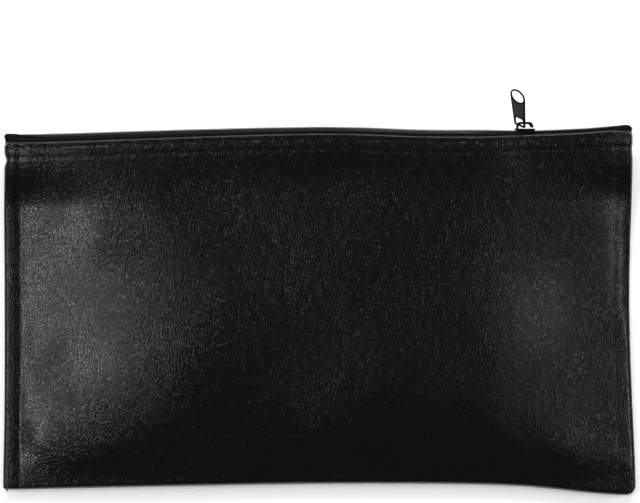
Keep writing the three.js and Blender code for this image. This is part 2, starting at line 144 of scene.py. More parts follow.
# Rises and dips of the front that shape the light: centre, half widths, height. They are a fold
# running up from the left seam, a hollow under it, and the bulges near the right corner.
FRONT_BUMPS = [
    ((-100, 34), (15, 13), 0.75),
    ((-121, 46), (11, 10), 0.5),
    ((-112, -22), (12, 9), -0.45),
    ((-122, -54), (11, 9), 0.9),
    ((81, -8), (22, 26), 1.3),
    ((106, -60), (12, 16), 0.8),
]
RIGHT_HOLLOW = 2.0  # the front sinks this much along the upper part of the right seam

# Zipper: places along a tape are measured from its tooth tips.
CHAIN_END = 131
PITCH = 1.13  # coil pitch
WIRE = 0.28  # radius of the coil's monofilament
WIRE_STEPS = 20  # points on the wire for each loop
LOOP_HALF_LENGTH = 1.27
LOOP_HALF_HEIGHT = 0.5
LOOP_TOWARDS_TIPS = 0.12  # the loop's middle lies this far from the cord's, towards the tips
LOOP_ROUNDNESS = 0.75  # 1 is a round loop, and less is squarer
FIRST_LOOP_AT = 0.6
BACK_ROW_DROP = 0.75  # the back row of teeth hangs lower where the mouth is open:
BACK_DROPS_OVER = 14  # it drops over this length from its left end
BACK_RISES_OVER = 20  # and rises again over this length before the slider
CORD_R = 0.17
CORD_S = 1.05  # where the filler cord lies
CORD_RISE = 0.85  # tape centre to the filler cord
COIL_THREAD_R = 0.11
COIL_THREAD_ROWS = (-0.2, 0.55)  # the two rows of chain stitch, away from the cord
COIL_THREAD_RISE = 0.53  # the thread's mean height over the cord
COIL_THREAD_WAVE = 0.3  # it rises and dips by this much from loop to loop
TAPE_THICKNESS = 0.42
TAPE_FLAT_ROWS = (0.75, 1.2, 1.7, 2.2)
TAPE_BEND_AT = 2.6
TAPE_BEND_R = 0.8
TAPE_BEND_ROWS = 7
TAPE_END = 12.0

# Folded tape ends, at the left (-1) and at the right (1) of the chain.
TAIL_END_R = {-1: 1.4, 1: 2.4}  # rounding of the end
TAIL_OVERLAP = 1.8  # it reaches this far in over the chain
TAIL_END_GAP = 0.25  # and stops this far short of the CAD's end
TAIL_HALF = (1.7, 1.3)  # half its thickness, at its start and at its end
TAIL_CROWN = 0.5  # its top rises this much from its start
TAIL_DEPTH = 4.5  # it reaches this far down, but
TAIL_END_DEPTH = 1.4  # only this far at its rounded end
TAIL_SECTIONS = 16
TAIL_AROUND = 20

# Sewing thread.
MOUTH_THREAD_R = 0.2
SEAM_THREAD_R = 0.16

# Cast slider: the size of the voxels that round its edges over, and passes of smoothing.
CAST_VOXEL = 0.11
CAST_SMOOTHING = 3

# The stamped pull, in its own plane: v runs from its cross-bar to its tip, u across.
PULL_THICKNESS = 0.9
PULL_EYE_R = 3.2
PULL_TIP_R = 3.95
PULL_ROOT_HALF = 2.95
PULL_ROOT_CORNER_R = 0.5
PULL_SLOT_HALF = 2.05
PULL_SLOT_END = 4.2
PULL_SLOT_END_R = 1.3
RIM_R = 0.36
RIM_SWELL = 0.08  # the rims stand this much proud of the metal's edge
FACE_INSET = 0.3  # the pull's flat starts this far inside the metal's edge
FACE_SINK = 0.15  # and lies this much below the full thickness on both faces


# ---- Mesh helpers
def make_mesh(name, points, faces, smooth=True):
    """A mesh object from millimetre points."""
    mesh = bpy.data.meshes.new(name)
    mesh.from_pydata((np.asarray(points, float) * MM).tolist(), [], faces)
    mesh.validate()
    if smooth:
        mesh.polygons.foreach_set("use_smooth", [True] * len(mesh.polygons))
    piece = bpy.data.objects.new(name, mesh)
    bpy.context.scene.collection.objects.link(piece)
    return piece


def apply_modifier(piece, kind, **settings):
    """Adds a modifier with these settings and makes its result the piece's own mesh."""
    modifier = piece.modifiers.new(kind.lower(), kind)
    for key, value in settings.items():
        setattr(modifier, key, value)
    bpy.context.view_layer.objects.active = piece
    with bpy.context.temp_override(object=piece, active_object=piece, selected_objects=[piece]):
        bpy.ops.object.modifier_apply(modifier=modifier.name)


def grid_faces(rows, columns, closed=False):
    """Quads of a grid of rows x columns points; closed joins the last column to the first."""
    across = columns if closed else columns - 1
    return [
        (r * columns + c, r * columns + (c + 1) % columns,
         (r + 1) * columns + (c + 1) % columns, (r + 1) * columns + c)
        for r in range(rows - 1) for c in range(across)
    ]


def tube(path, radius, sides=6):
    """Points and faces of a round tube along a path, with closed ends."""
    path = np.asarray(path, float)
    tangents = np.gradient(path, axis=0)
    tangents /= np.linalg.norm(tangents, axis=1)[:, None]
    normal = np.cross(tangents[0], [0.3, 0.9, 0.4])
    rings = []
    for point, tangent in zip(path, tangents):
        normal = normal - tangent * normal.dot(tangent)
        normal /= np.linalg.norm(normal)
        other = np.cross(tangent, normal)
        turns = np.arange(sides) * 2 * math.pi / sides
        rings.append(point + radius * (np.outer(np.cos(turns), normal) + np.outer(np.sin(turns), other)))
    points = np.concatenate(rings)
    faces = grid_faces(len(path), sides, closed=True)
    last = (len(path) - 1) * sides
    faces.append(tuple(reversed(range(sides))))
    faces.append(tuple(range(last, last + sides)))
    return points, faces


def many_tubes(name, paths, radius, sides=6):
    """One piece made of several separate tubes."""
    points, faces, count = [], [], 0
    for path in paths:
        some_points, some_faces = tube(path, radius, sides)
        points.append(some_points)
        faces += [tuple(i + count for i in face) for face in some_faces]
        count += len(some_points)
    return make_mesh(name, np.concatenate(points), faces)


def smoothed(values, passes=1):
    """A running mean of three that leaves the two ends alone."""
    values = np.array(values, float)
    for _ in range(passes):
        values[1:-1] = (values[:-2] + 2 * values[1:-1] + values[2:]) / 4
    return values


def lerp(a, b, share):
    return a + (b - a) * share


def bell(offset, width):
    """1 at no offset, falling away smoothly over about this width to both sides."""
    return np.exp(-(offset / width) ** 2)


def rounded_box(wave, power):
    """A sine or cosine pushed towards a square wave: the smaller the power, the squarer."""
    return np.sign(wave) * np.abs(wave) ** power


def clean_mesh(piece, merge=None, outwards=False):
    """Merges points nearer than this many metres and turns the faces outwards, as asked."""
    clean = bmesh.new()
    clean.from_mesh(piece.data)
    if merge:
        bmesh.ops.remove_doubles(clean, verts=clean.verts, dist=merge)
    if outwards:
        bmesh.ops.recalc_face_normals(clean, faces=clean.faces)
    clean.to_mesh(piece.data)
    clean.free()


def smoothstep(values, low, high):
    """0 below the low value, 1 above the high one and a smooth rise between them."""
    t = np.clip((np.asarray(values, float) - low) / (high - low), 0, 1)
    return t * t * (3 - 2 * t)


# ---- Lines read from the frame
def node_points(node):
    """A CAD node's mesh points in millimetres."""
    return np.array([v.co for v in frame["nodes"][node].data.vertices], float) / MM


def centre_line(node):
    """The middle of a bar that runs along X: one point for each of its stations."""
    points = np.unique(node_points(node).round(3), axis=0)
    stations = np.unique(points[:, 0].round(2))
    return np.array([points[np.abs(points[:, 0] - x) < 0.02].mean(0) for x in stations])


class Line:
    """A smooth line along X through a node's stations; y(x) and z(x)."""

    def __init__(self, node, passes=12):
        stations = centre_line(node)
        self.x = np.arange(stations[0, 0], stations[-1, 0] + 0.5, 0.5)
        self.columns = [smoothed(np.interp(self.x, stations[:, 0], stations[:, i]), passes) for i in (1, 2)]

    def __call__(self, x):
        return np.stack([x, *(np.interp(x, self.x, column) for column in self.columns)], axis=-1)


def ray_tree(node):
    """A CAD node's faces, ready for rays."""
    mesh = frame["nodes"][node].data
    return BVHTree.FromPolygons([v.co for v in mesh.vertices], [p.vertices for p in mesh.polygons])


panel_trees = {side: ray_tree(f"{word}_panel") for side, word in SIDE_NAMES.items()}
panel_top_z = max(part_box("front_panel")[1].z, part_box("back_panel")[1].z) / MM


def outline(axis, toward, low, high, passes, trees=(FRONT, BACK)):
    """Where the panels end, looking in from outside: a smooth function of the other flat axis.
    axis is the one looked along, 0 or 1, and toward is the way the ray goes."""
    places = np.arange(low, high + 1, 1.0)
    found = []
    direction = Vector((toward, 0, 0) if axis == 0 else (0, toward, 0))
    for place in places:
        hits = []
        for z in np.arange(RAY_SPACING, panel_top_z, RAY_SPACING):
            start = [0, 0, z * MM]
            start[axis] = -RAY_START * toward
            start[1 - axis] = place * MM
            for side in trees:
                hit = panel_trees[side].ray_cast(Vector(start), direction)[0]
                if hit is not None:
                    hits.append(hit[axis] / MM)
        found.append(min(hits) if toward > 0 else max(hits))
    values = smoothed(found, passes)
    return lambda at: np.interp(at, places, values)


bottom_y = outline(1, 1, -FOLD_READ_TO, FOLD_READ_TO, LINE_SMOOTHING)
panel_lip_y = outline(1, -1, -CHAIN_END, CHAIN_END, LINE_SMOOTHING, (FRONT,))


def mouth_dip(x):
    """How far the open mouth sags below the CAD's line."""
    return MOUTH_DIP * bell(x - MOUTH_DIP_AT, MOUTH_DIP_REACH)


def lip_y(x):
    """The lip's line: the CAD's, but nearer the chain where the mouth is closed."""
    closed = smoothstep(x, *CLOSED_FROM) * (1 - 0.5 * smoothstep(x, *CORNER_FROM))
    return panel_lip_y(x) + CLOSED_LIP_RISE * closed - mouth_dip(x)


def side_edge(side_x):
    """A side edge's line, read from 3 mm above the fold to 3 mm below the lip."""
    low = bottom_y(side_x * FOLD_READ_TO) + 3
    high = lip_y(side_x * CHAIN_END) - 3
    return outline(0, -side_x, low, high, EDGE_SMOOTHING)


left_x = side_edge(-1)
right_x = side_edge(1)
zip_z = (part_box("front_coil")[0].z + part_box("back_coil")[1].z) / 2 / MM


# ---- The vinyl shell
def surface_height(tree, x, y, side):
    """Height of a CAD panel's outer face over a place, seen from outside the bag."""
    start = Vector((x * MM, y * MM, side * RAY_START))
    hit = tree.ray_cast(start, Vector((0, 0, -side)))[0]
    return None if hit is None else hit.z / MM


def fold_profile(steps=7):
    """Bottom fold: how far up from its edge, and the share of the half thickness."""
    turns = [math.pi / 2 * i / (steps - 1) for i in range(steps)]
    return [(FOLD_ROUND * (1 - math.cos(t)), math.sin(t)) for t in turns]


def bump(x, y, at, size, height):
    """A soft round rise; size is its two half widths."""
    return height * bell(x - at[0], size[0]) * bell(y - at[1], size[1])


def wave_noise(x, y, seed, scale, count=14, stretch=1.0):
    """A sum of long waves in many directions, about -1 to 1."""
    rng = np.random.default_rng(seed)
    total = np.zeros_like(x)
    for _ in range(count):
        angle = rng.uniform(0, 2 * math.pi)
        wavelength = scale * rng.uniform(0.6, 1.6)
        phase = rng.uniform(0, 2 * math.pi)
        direction = (x * math.cos(angle) + y * math.sin(angle) / stretch) / wavelength
        total += np.sin(2 * math.pi * direction + phase)
    return total / math.sqrt(count)


def corner_inset(distance, radius):
    """How far a corner of this radius draws the side edge in, at a distance above the fold."""
    short = np.clip(radius - distance, 0, radius)
    return radius - np.sqrt(radius ** 2 - short ** 2)


def hem_end_notch(below, depth):
    """The side edges are drawn in a little where the hem ends."""
    return depth * bell(below - HEM_ENDS_AT, 2.0)


def row_distances(height):
    """How far above the fold each row of the grid lies, and its share of the half thickness."""
    fold = fold_profile()[:-1]
    fold_rows = [distance for distance, _ in fold]
    body_rows = np.linspace(FOLD_ROUND, height - FINE_ROWS, int(height / CELL))
    lip_rows = height - FINE_ROWS + np.arange(0.5, FINE_ROWS + 0.1, 0.5)
    up = np.concatenate([fold_rows, body_rows, lip_rows])
    share = np.concatenate([[share for _, share in fold], np.ones(len(up) - len(fold_rows))])
    return up, share


def face_places(up, height):
    """The x and y of every point of a face, rows from the fold to the lip."""
    edge_steps = np.array([distance for distance, _ in SIDE_PROFILE[:-1]])
    inner = np.linspace(0, 1, int((right_x(0) - left_x(0)) / CELL))
    grid = []
    for distance in up:
        y_mid = bottom_y(0) + distance
        below = height + LIP_ROUND - distance
        lip_corner = corner_inset(height - distance, LIP_CORNER_R)
        left_notch = hem_end_notch(below, LEFT_NOTCH)
        right_notch = hem_end_notch(below, RIGHT_NOTCH)
        low_x = left_x(y_mid) + lip_corner + left_notch + corner_inset(distance, LEFT_CORNER_R)
        high_x = right_x(y_mid) - lip_corner - right_notch - corner_inset(distance, RIGHT_CORNER_R)
        x = np.concatenate([
            low_x + edge_steps,
            low_x + EDGE_ROUND + inner * (high_x - low_x - 2 * EDGE_ROUND),
            (high_x - edge_steps)[::-1],
        ])
        y = bottom_y(x) + distance / height * (lip_y(x) - LIP_ROUND - bottom_y(x))
        grid.append(np.stack([x, y], axis=-1))
    return np.array(grid)


def panel_heights(grid, side):
    """Smoothed heights of the CAD panel at every point, read a little inside its edges."""
    x_in = np.clip(grid[:, :, 0], left_x(grid[:, :, 1]) + READ_INSIDE, right_x(grid[:, :, 1]) - READ_INSIDE)
    y_in = np.clip(grid[:, :, 1], bottom_y(x_in) + READ_ABOVE_FOLD, panel_lip_y(x_in) - READ_BELOW_LIP)
    z = np.zeros(grid.shape[:2])
    for r, c in np.ndindex(z.shape):
        found = surface_height(panel_trees[side], x_in[r, c], y_in[r, c], side)
        z[r, c] = z[r, c - 1] if found is None else found
    for _ in range(SMOOTHING):
        z[1:-1] = (z[:-2] + 2 * z[1:-1] + z[2:]) / 4
        z[:, 1:-1] = (z[:, :-2] + 2 * z[:, 1:-1] + z[:, 2:]) / 4
    return z


def shell_side(side):
    """Grid of one face of the bag from the bottom fold (row 0) to the lip (last row), and the
    share of the half thickness that each point has."""
    height = lip_y(0) - LIP_ROUND - bottom_y(0)
    up, fold_share = row_distances(height)
    grid = face_places(up, height)
    side_share = np.ones(grid.shape[1])
    for i, (_, rise) in enumerate(SIDE_PROFILE[:-1]):
        side_share[i] = side_share[-1 - i] = rise
    return np.dstack([grid, panel_heights(grid, side)]), fold_share[:, None] * side_share[None, :]


def lower_of(a, b, width):
    """The smaller of two heights, with the crossing rounded over."""
    share = np.clip(0.5 + 0.5 * (b - a) / width, 0, 1)
    return b * (1 - share) + a * share - width * share * (1 - share)


def soft_start(distance, start, softness=1.5):
    """Zero up to the start and then growing evenly, with a rounded bend between."""
    past = distance - start
    return (past + np.sqrt(past ** 2 + softness ** 2)) / 2


def front_height(x, y):
    """Height of the filled bag's front face."""
    seam_top = SEAM_TOP + MOUTH_LIFT * smoothstep(y, MOUTH_LIFT_FROM, MOUTH_LIFT_TO)
    fill = FILL_HEIGHT * (1 - np.clip(np.abs(y) / FILL_HALF_LENGTH, 0, 1) ** FILL_POWER)
    left = LEFT_SLOPE * soft_start(x - left_x(y), LEFT_SLOPE_FROM)
    right = RIGHT_SLOPE * (right_x(y) - x)
    return seam_top + lower_of(lower_of(left, right, LEVELLING), fill, LEVELLING)


def hem_height(x, y):
    """The hem's rise, the groove of its stitches and the small puckers beside them."""
    below = lip_y(x) - y
    rise = HEM_RISE * (1 - smoothstep(below, HEM - 2.8, HEM)) + HEM_WELT * bell(below - HEM - 0.9, 0.7)
    left_end = 1 - smoothstep(x, *LEFT_END)
    groove = lerp(STITCH_DEPTH, LEFT_STITCH_DEPTH, left_end) * bell(below - STITCH_BELOW_LIP, 0.55)
    beside = bell(below - STITCH_BELOW_LIP - 1.3, 1.1)
    by_stitch = 0.05 * np.cos(2 * math.pi * x / STITCH_PITCH)
    uneven = 0.08 * wave_noise(x, y, 3, 7)
    return rise - groove + beside * (by_stitch + uneven)


def side_seam_height(x, from_edge):
    """The ridge over a side seam's allowances and the groove beside it."""
    seam_depth = np.where(x < 0, 1.0, RIGHT_SEAM_SHARE)
    ridge = SEAM_RIDGE_HEIGHT * (1 - smoothstep(from_edge, SEAM_RIDGE - 1.2, SEAM_RIDGE + 0.4))
    groove = SEAM_GROOVE_DEPTH * bell(from_edge - SEAM_RIDGE - 0.8, 1.1)
    return seam_depth * (ridge - groove)


def details(points, side):
    """Height added to one face by hem, seams, puckers and the lie of the vinyl."""
    x, y = points[:, :, 0], points[:, :, 1]
    below = lip_y(x) - y
    from_edge = np.minimum(x - left_x(y), right_x(y) - x)
    from_fold = y - bottom_y(x)
    # Shares that fade each shape out over these distances from the edge, the fold and the lip.
    body = smoothstep(from_edge, 2, 14) * smoothstep(from_fold, 3, 20) * smoothstep(below, 6, 24)
    pucker = np.exp(-from_edge / 9) * smoothstep(from_edge, 1.5, 5) * smoothstep(below, 4, 16)
    along_seam = 2 * math.pi * (y + 0.12 * x) / PUCKER_LENGTH + 1.4 * np.sin(y / 13)
    height = hem_height(x, y) + side_seam_height(x, from_edge)
    height += PUCKER_HEIGHT * pucker * np.sin(along_seam)
    height += WAVE_HEIGHT * body * wave_noise(x, y, 5 + side, WAVE_LENGTH)
    height += CREASE_HEIGHT * body * wave_noise(x, y, 11 + side, CREASE_LENGTH, 20, 2.4)
    if side == FRONT:
        own_shape = smoothstep(below, 7, 30) * smoothstep(from_fold, 2, 14)
        height += own_shape * (front_height(x, y) - points[:, :, 2])
        for at, size, rise in FRONT_BUMPS:
            height += body * bump(x, y, at, size, rise)
        upper_part = smoothstep(y, -12, 8) * smoothstep(below, 16, 34)
        height -= RIGHT_HOLLOW * np.exp(-(right_x(y) - x) / 6) * upper_part
    return height


def pucker_share(points):
    """How strongly the vinyl puckers at each point: most beside the stitches and below the hem."""
    below = lip_y(points[:, 0]) - points[:, 1]
    beside_stitches = bell(below - STITCH_BELOW_LIP - 1.5, 1.2)
    hem_edge = bell(below - HEM - 0.8, 1.0)
    lip = bell(below - 0.4, 0.7)
    return beside_stitches + hem_edge + 0.7 * lip


def hem_rows(lip, middle, side):
    """Each lip rolls inwards over a small radius and runs back down as the hem's flap."""
    rows = []
    for turn in np.radians(LIP_TURNS):
        row = lip.copy()
        inward = LIP_ROUND * (1 - math.cos(turn))
        row[:, 1] += LIP_ROUND * math.sin(turn)
        row[:, 2] -= side * np.minimum(inward, np.abs(row[:, 2] - middle) * LIP_REACH)
        rows.append(row)
    turned = rows[-1]
    for depth in FLAP_DEPTHS:
        row = turned.copy()
        row[:, 1] -= depth
        row[:, 0] *= 1 - FLAP_INSET / abs(left_x(0)) * min(1, depth / FLAP_INSET_OVER)
        rows.append(row)
    return rows


def bag_faces():
    """Points of the front and the back face, and the middle height between them."""
    faces, shares, heights = {}, {}, {}
    for side in (FRONT, BACK):
        faces[side], shares[side] = shell_side(side)
        heights[side] = faces[side][:, :, 2] + side * details(faces[side], side) * DETAIL_SHARE[side]
    apart = -lower_of(heights[BACK] - heights[FRONT], -LEAST_THICKNESS, THICKNESS_BLEND)
    middle = heights[BACK] + apart / 2
    for side in (FRONT, BACK):
        faces[side][:, :, 2] = middle + side * apart / 2 * shares[side]
    np.clip(faces[BACK][:, :, 2], LEAST_HEIGHT, None, out=faces[BACK][:, :, 2])
    return faces, middle


def vinyl_shell():
    """The whole bag as one sheet: back flap, back, bottom fold, front and front flap."""
    faces, middle = bag_faces()
    front_rows = [*faces[FRONT][1:], *hem_rows(faces[FRONT][-1], middle[-1], FRONT)]
    back_rows = [*faces[BACK], *hem_rows(faces[BACK][-1], middle[-1], BACK)]
    rows = np.array([*reversed(back_rows), *front_rows])
    shell = make_mesh("vinyl_shell", rows.reshape(-1, 3), grid_faces(*rows.shape[:2]))
    puckered = shell.data.attributes.new("pucker", "FLOAT", "POINT")
    puckered.data.foreach_set("value", pucker_share(rows.reshape(-1, 3)))
    # The two faces meet along the side seams.
    clean_mesh(shell, merge=0.02 * MM, outwards=True)
    apply_modifier(shell, "SOLIDIFY", thickness=VINYL * MM, offset=-1, use_even_offset=False)
    return shell, faces


# ---- Zipper
def chain_frame(side):
    """For places along the chain: filler cord centre, outward normal, direction away from the tips."""
    cord = Line(f"{SIDE_NAMES[side]}_coil_cord")
    thread = Line(f"{SIDE_NAMES[side]}_coil_thread")
    closed_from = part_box("slider_body")[0].x / MM

    def at(x):
        centre = cord(x)
        normal = thread(x) - centre
        normal /= np.linalg.norm(normal, axis=-1)[..., None]
        away = np.stack([np.zeros_like(x), -side * normal[..., 2], side * normal[..., 1]], axis=-1)
        centre[..., 1] -= mouth_dip(x)
        if side == BACK:
            past_left_end = smoothstep(x, cord.x[0], cord.x[0] + BACK_DROPS_OVER)
            before_slider = 1 - smoothstep(x, closed_from - BACK_RISES_OVER, closed_from)
            centre[..., 1] -= BACK_ROW_DROP * past_left_end * before_slider
        return centre, normal, away

    return at, cord.x[0], cord.x[-1]


def first_loop(side, start):
    """Where a coil's first loop stands; the two rows stand half a pitch apart."""
    return start + FIRST_LOOP_AT + PITCH * (0.5 if side == FRONT else 1.0)


def coil_piece(side):
    """The coil as one monofilament wound at its real pitch."""
    at, start, end = chain_frame(side)
    loops = int((end - start - FIRST_LOOP_AT) / PITCH)
    t = np.arange(loops * WIRE_STEPS + 1) / WIRE_STEPS
    phase = t % 1
    # A loop's two legs stand one over the other; the wire moves on to the next loop between them.
    step_on = smoothstep(phase, 0.82, 1.0) / 2 + (smoothstep(phase, 0.0, 0.18) - 1) / 2
    x = first_loop(side, start) + PITCH * (np.floor(t) + step_on)
    centre, normal, away = at(x)
    turn = 2 * math.pi * phase
    along = LOOP_HALF_LENGTH * rounded_box(np.cos(turn), LOOP_ROUNDNESS)
    rise = LOOP_HALF_HEIGHT * rounded_box(np.sin(turn), LOOP_ROUNDNESS)
    path = centre + (along - LOOP_TOWARDS_TIPS)[:, None] * away + rise[:, None] * normal
    return many_tubes(f"{SIDE_NAMES[side]}_nylon_coil", [path], WIRE, 6)


def cord_piece(side):
    """The straight cord inside the coil."""
    at, start, end = chain_frame(side)
    x = np.arange(start, end, 1.0)
    return many_tubes(f"{SIDE_NAMES[side]}_filler_cord", [at(x)[0]], CORD_R, 8)


def coil_thread_piece(side):
    """Two rows of chain stitch that bind every loop of the coil to the tape."""
    at, start, end = chain_frame(side)
    x = np.arange(start + 0.3, end - 0.3, PITCH / 8)
    centre, normal, away = at(x)
    # The thread goes over each loop and dips to the cord between loops.
    loops_past = (x - first_loop(side, start)) / PITCH
    lift = COIL_THREAD_RISE + COIL_THREAD_WAVE * np.cos(2 * math.pi * loops_past)
    paths = [centre + s * away + lift[:, None] * normal for s in COIL_THREAD_ROWS]
    return many_tubes(f"{SIDE_NAMES[side]}_coil_stitches", paths, COIL_THREAD_R, 6)


def tape_piece(side):
    """Woven tape from beside the coil's heads round its bend and down inside the hem."""
    at, start, end = chain_frame(side)
    x = np.arange(start - 1.5, end + 1.5, 1.0)
    centre, normal, away = at(x)
    lying = np.arctan2(normal[:, 1], side * normal[:, 2])
    rows = []
    for s in TAPE_FLAT_ROWS:
        rows.append(centre + (s - CORD_S) * away - CORD_RISE * normal)
    bend = rows[0] + (TAPE_BEND_AT - TAPE_FLAT_ROWS[0]) * away
    for share in np.linspace(0, 1, TAPE_BEND_ROWS):
        heading = lying * (1 - share)
        step = bend.copy()
        step[:, 1] -= TAPE_BEND_R * (np.sin(lying) - np.sin(heading))
        step[:, 2] += side * TAPE_BEND_R * (np.cos(heading) - np.cos(lying))
        rows.append(step)
    down = TAPE_END - TAPE_BEND_AT - TAPE_BEND_R * lying
    bend_end = rows[-1]
    for share in np.linspace(0.08, 1, 8):
        step = bend_end.copy()
        step[:, 1] -= share * down
        rows.append(step)
    rows = np.array(rows)
    tape = make_mesh(f"{SIDE_NAMES[side]}_zipper_tape", rows.reshape(-1, 3), grid_faces(*rows.shape[:2]))
    apply_modifier(tape, "SOLIDIFY", thickness=TAPE_THICKNESS * MM, offset=0)
    return tape


def tail_piece(side_x, name):
    """Folded tape ends at one corner, tacked across the chain: a flat roll with a round end."""
    low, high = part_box(f"{name}_tape_tail")
    low, high = np.array(low) / MM, np.array(high) / MM
    inner, outer = (low[0], high[0]) if side_x > 0 else (high[0], low[0])
    turns = np.linspace(0, 2 * math.pi, TAIL_AROUND, endpoint=False)
    rings = []
    start = inner - TAIL_OVERLAP * side_x
    end = outer - TAIL_END_GAP * side_x
    end_r = TAIL_END_R[side_x]
    for share in np.sin(np.linspace(0, math.pi / 2, TAIL_SECTIONS)):
        x = lerp(start, end, share)
        rounding = 1 - min(1, abs(end - x) / end_r)
        taper = math.sqrt(max(1 - rounding ** 2, 0.02))
        half = lerp(*TAIL_HALF, share) * taper
        top = high[1] + TAIL_CROWN * smoothstep(share, 0, 0.6) - end_r * (1 - taper)
        foot = lerp(high[1] - TAIL_END_DEPTH, high[1] - TAIL_DEPTH, taper ** 3)
        y = (top + foot) / 2 + (top - foot) / 2 * rounded_box(np.cos(turns), 0.5)
        z = zip_z + half * rounded_box(np.sin(turns), 0.7)
        rings.append(np.stack([np.full(TAIL_AROUND, x), y, z], axis=-1))
    faces = grid_faces(TAIL_SECTIONS, TAIL_AROUND, closed=True)
    last = (TAIL_SECTIONS - 1) * TAIL_AROUND
    faces += [tuple(reversed(range(TAIL_AROUND))), tuple(range(last, last + TAIL_AROUND))]
    tail = make_mesh(f"{name}_folded_tape", np.concatenate(rings), faces)
    clean_mesh(tail, outwards=True)
    return tail


def surface_lookup(grid):
    """Outer height of a face of the bag over a place, from its nearest grid point."""
    flat = grid.reshape(-1, 3)
    tree = KDTree(len(flat))
    for i, p in enumerate(flat):
        tree.insert((p[0], p[1], 0), i)
    tree.balance()
    return lambda x, y: flat[tree.find((x, y, 0))[1]][2]


def mouth_stitches(side, grid):
    """Separate lockstitches in the groove below the lip; each one dips into the vinyl at its ends."""
    height = surface_lookup(grid)
    paths = []
    for x in np.arange(-STITCH_SPAN, STITCH_SPAN, STITCH_PITCH):
        path = []
        for share in np.linspace(0, 1, 9):
            px = x + (STITCH_PITCH - STITCH_GAP) * share
            py = lip_y(px) - STITCH_BELOW_LIP
            dip = STITCH_END_DIP * (abs(2 * share - 1) ** 6)
            path.append((px, py, height(px, py) + side * (STITCH_STANDS - dip)))
        paths.append(path)
    return many_tubes(f"{SIDE_NAMES[side]}_mouth_lockstitch", paths, MOUTH_THREAD_R, 8)


def seam_stitches(name):
    """The thread that closes one side seam, inside the bag."""
    line = node_points(f"{name}_seam_thread")
    y = np.arange(line[:, 1].min(), line[:, 1].max(), 0.5)
    # The CAD thread is a bar with four points to each of its rings.
    rings = np.unique(line.round(3), axis=0)
    rings = rings[np.argsort(rings[:, 1])]
    rings = rings[: len(rings) // 4 * 4].reshape(-1, 4, 3).mean(1)
    middle_x = smoothed(np.interp(y, rings[:, 1], rings[:, 0]), 20)
    middle_z = smoothed(np.interp(y, rings[:, 1], rings[:, 2]), 20)
    wobble = 0.1 * np.sin(2 * math.pi * y / 3)
    path = np.stack([middle_x, y, middle_z + wobble], axis=-1)
    return many_tubes(f"{name}_seam_lockstitch", [path], SEAM_THREAD_R, 6)


# ---- Slider and pull
def rounded_copy(node, name, voxel, passes):
    """A cast version of a CAD solid: the same shape with its edges rounded over."""
    piece = bpy.data.objects.new(name, frame["nodes"][node].data.copy())
    bpy.context.scene.collection.objects.link(piece)
    piece.data.materials.clear()
    clean_mesh(piece, merge=0.001 * MM)
    apply_modifier(piece, "REMESH", mode="VOXEL", voxel_size=voxel * MM, use_smooth_shade=True)
    apply_modifier(piece, "SMOOTH", factor=0.5, iterations=passes)
    piece.data.polygons.foreach_set("use_smooth", [True] * len(piece.data.polygons))
    return piece


def pull_axes():
    """The pull's cross-bar centre and its directions across, along and out of its plane."""
    joint = next(j for j in frame["record"]["behaviour"]["joints"] if j["name"] == "pull_swing")
    centre = np.array(joint["pos_m"]) / MM
    across = np.array(joint["axis"], float)
    across /= np.linalg.norm(across)
    along = node_points("pull_tab").mean(0) - centre
    along -= across * along.dot(across)
    along /= np.linalg.norm(along)
    return centre, across, along, np.cross(across, along)


def arc(centre_v, radius, start, end, steps=24):
    """Points round the pull's middle line, angles in degrees from the u axis."""
    turns = np.radians(np.linspace(start, end, steps))
    return [(radius * math.cos(t), centre_v + radius * math.sin(t)) for t in turns]


def rounded_corner(u, v, radius, start):
    """A quarter turn about (u, v) from this angle on."""
    turns = np.radians(np.linspace(start, start + 90, 6))
    return [(u + radius * math.cos(t), v + radius * math.sin(t)) for t in turns]


def pull_outlines(inset):
    """The outer edge, the eye and the slot, drawn in by inset from the metal's edge."""
    centre, _, along, _ = pull_axes()
    tip_v = (node_points("pull_tab") @ along).max() - centre @ along - PULL_TIP_R
    root = PULL_ROOT_HALF - inset
    bar = PULL_THICKNESS / 2
    corner = PULL_ROOT_CORNER_R
    outer = arc(tip_v, PULL_TIP_R - inset, -4, 184)
    outer += rounded_corner(-root + corner, -bar + inset + corner, corner, 180)
    outer += rounded_corner(root - corner, -bar + inset + corner, corner, 270)
    eye = arc(tip_v, PULL_EYE_R + inset, 0, 350)
    half = PULL_SLOT_HALF + inset
    round_end = PULL_SLOT_END_R
    slot = rounded_corner(half - round_end, PULL_SLOT_END + inset - round_end, round_end, 0)
    slot += rounded_corner(-half + round_end, PULL_SLOT_END + inset - round_end, round_end, 90)
    slot += [(-half, bar - inset), (half, bar - inset)]
    return outer, eye, slot


def to_pull_place(u, v, out):
    """A point of the pull's own plane in the bag's frame."""
    centre, across, along, facing = pull_axes()
    return centre + u * across + v * along + out * facing


def pull_face():
    """The flat of the pull between its rims, a little thinner than they are."""
    flat = bpy.data.curves.new("pull_face", "CURVE")
    flat.dimensions = "2D"
    flat.fill_mode = "BOTH"
    flat.extrude = PULL_THICKNESS / 2 - FACE_SINK
    for edge in pull_outlines(FACE_INSET):
        spline = flat.splines.new("POLY")
        spline.points.add(len(edge) - 1)
        for point, (u, v) in zip(spline.points, edge):
            point.co = (u, v, 0, 1)
        spline.use_cyclic_u = True
    drawn = bpy.data.objects.new("pull_outline", flat)
    bpy.context.scene.collection.objects.link(drawn)
    seen = drawn.evaluated_get(bpy.context.evaluated_depsgraph_get())
    mesh = bpy.data.meshes.new_from_object(seen)
    bpy.data.objects.remove(drawn)
    points = [to_pull_place(*v.co) for v in mesh.vertices]
    faces = [tuple(p.vertices) for p in mesh.polygons]
    piece = make_mesh("pull_face", points, faces, smooth=False)
    bpy.data.meshes.remove(mesh)
    return piece


